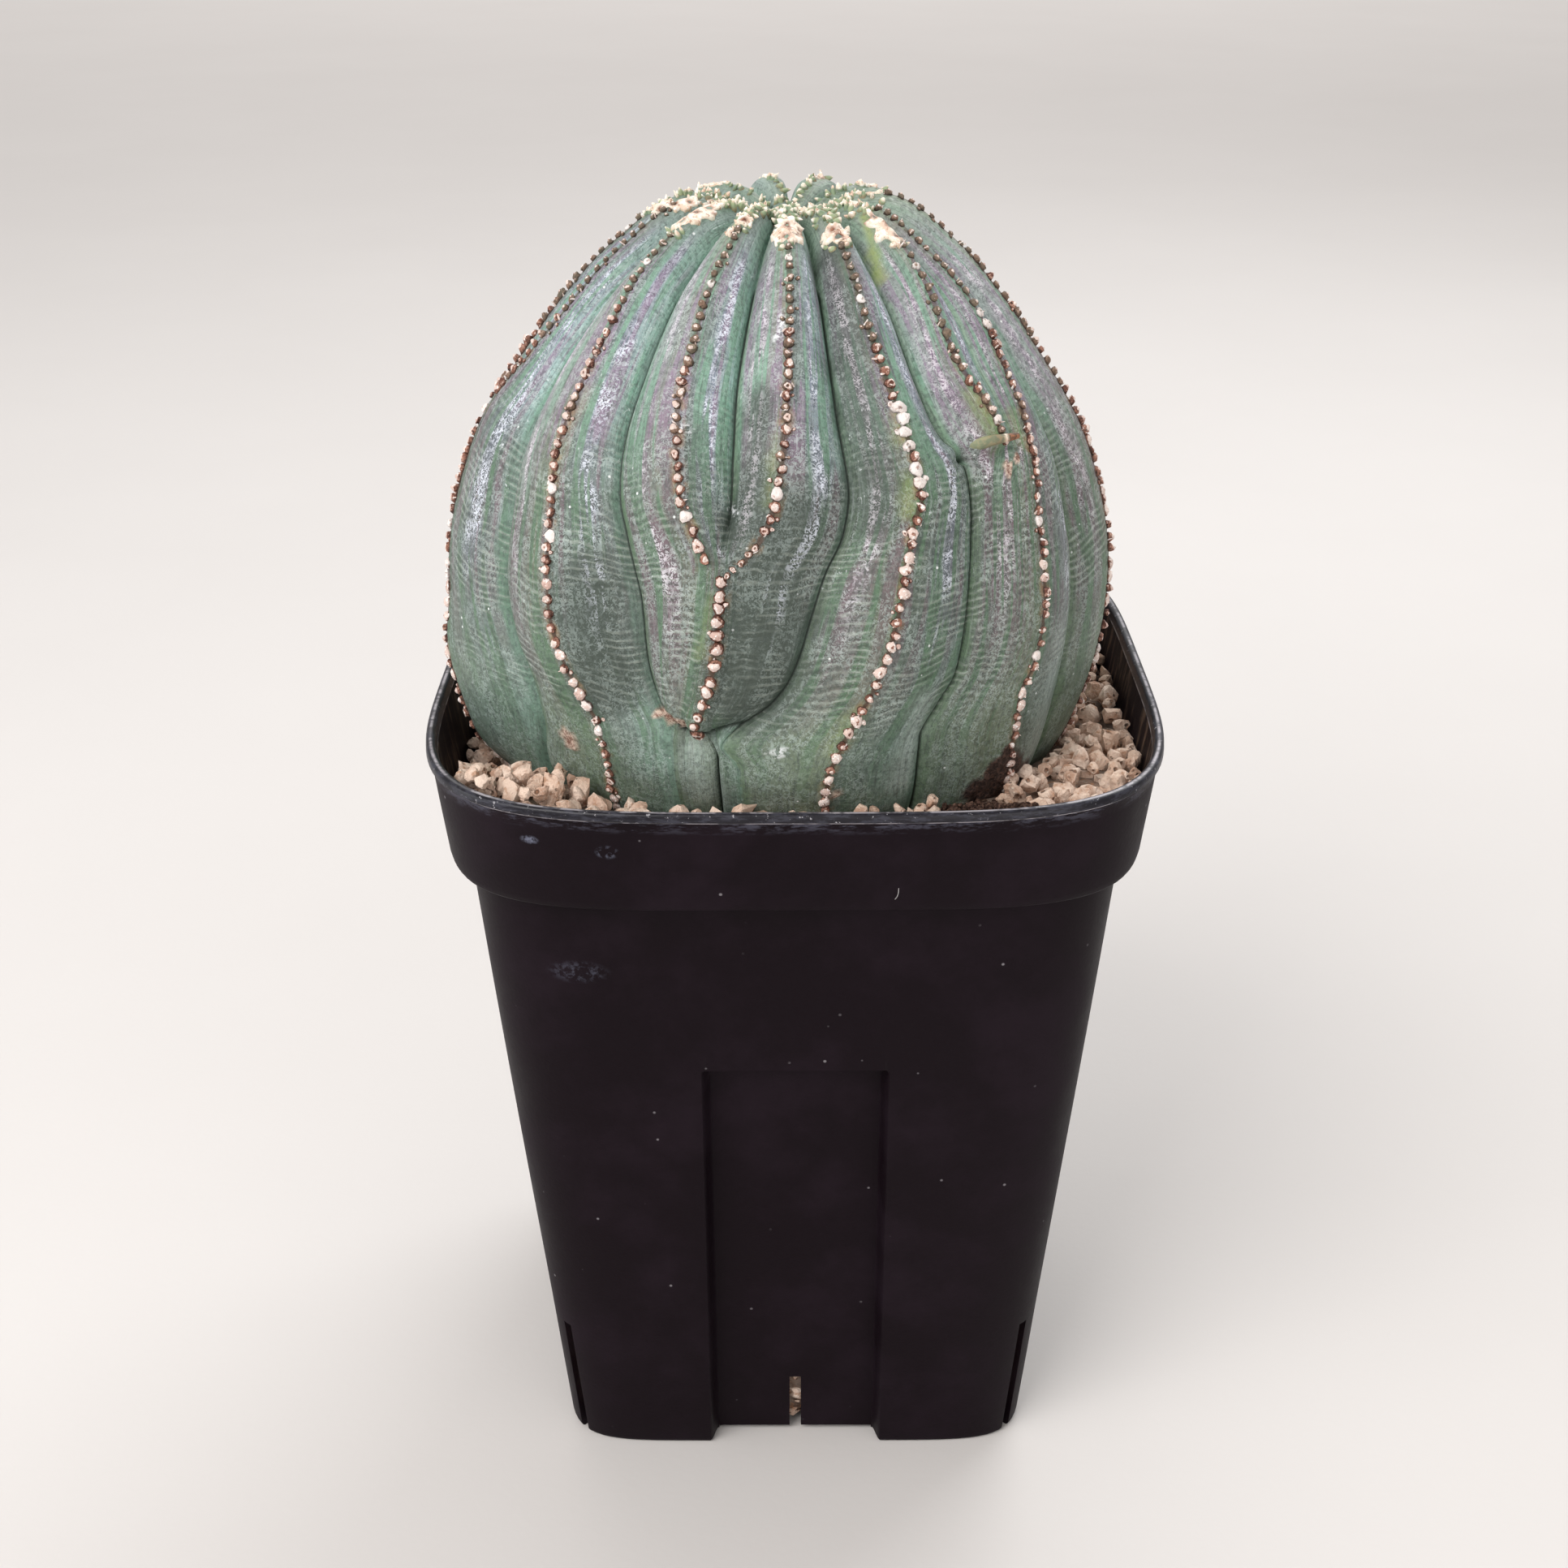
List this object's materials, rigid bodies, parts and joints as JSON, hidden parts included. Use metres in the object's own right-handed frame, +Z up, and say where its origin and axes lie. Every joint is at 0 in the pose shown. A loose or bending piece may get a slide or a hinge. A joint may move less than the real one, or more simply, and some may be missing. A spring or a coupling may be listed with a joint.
{
  "type": "potted baseball plant",
  "caption": "Ribbed globe-shaped succulent with tubercled crests, rooted in tan granular potting mix in a tapered square black plastic nursery pot.",
  "frame": {"origin": "centre of the pot's footprint, on the floor it stands on", "axes": "+Z up out of the pot; -Y is the pot's front side; +X to the right seen from the front"},
  "size_m": [0.105, 0.105, 0.1905],
  "materials": {
    "pot_plastic": "black moulded polypropylene, slightly dusty, with a glossier lip",
    "granules": "dry porous fired-clay granules, rough and matt",
    "plant_skin": "waxy grey-green skin with a purple-grey bloom and rust-and-cream tubercles on the crests"
  },
  "bodies": {
    "root": {"pot": "pot_plastic", "potting_mix": "granules", "plant": "plant_skin"}
  },
  "joints": []
}
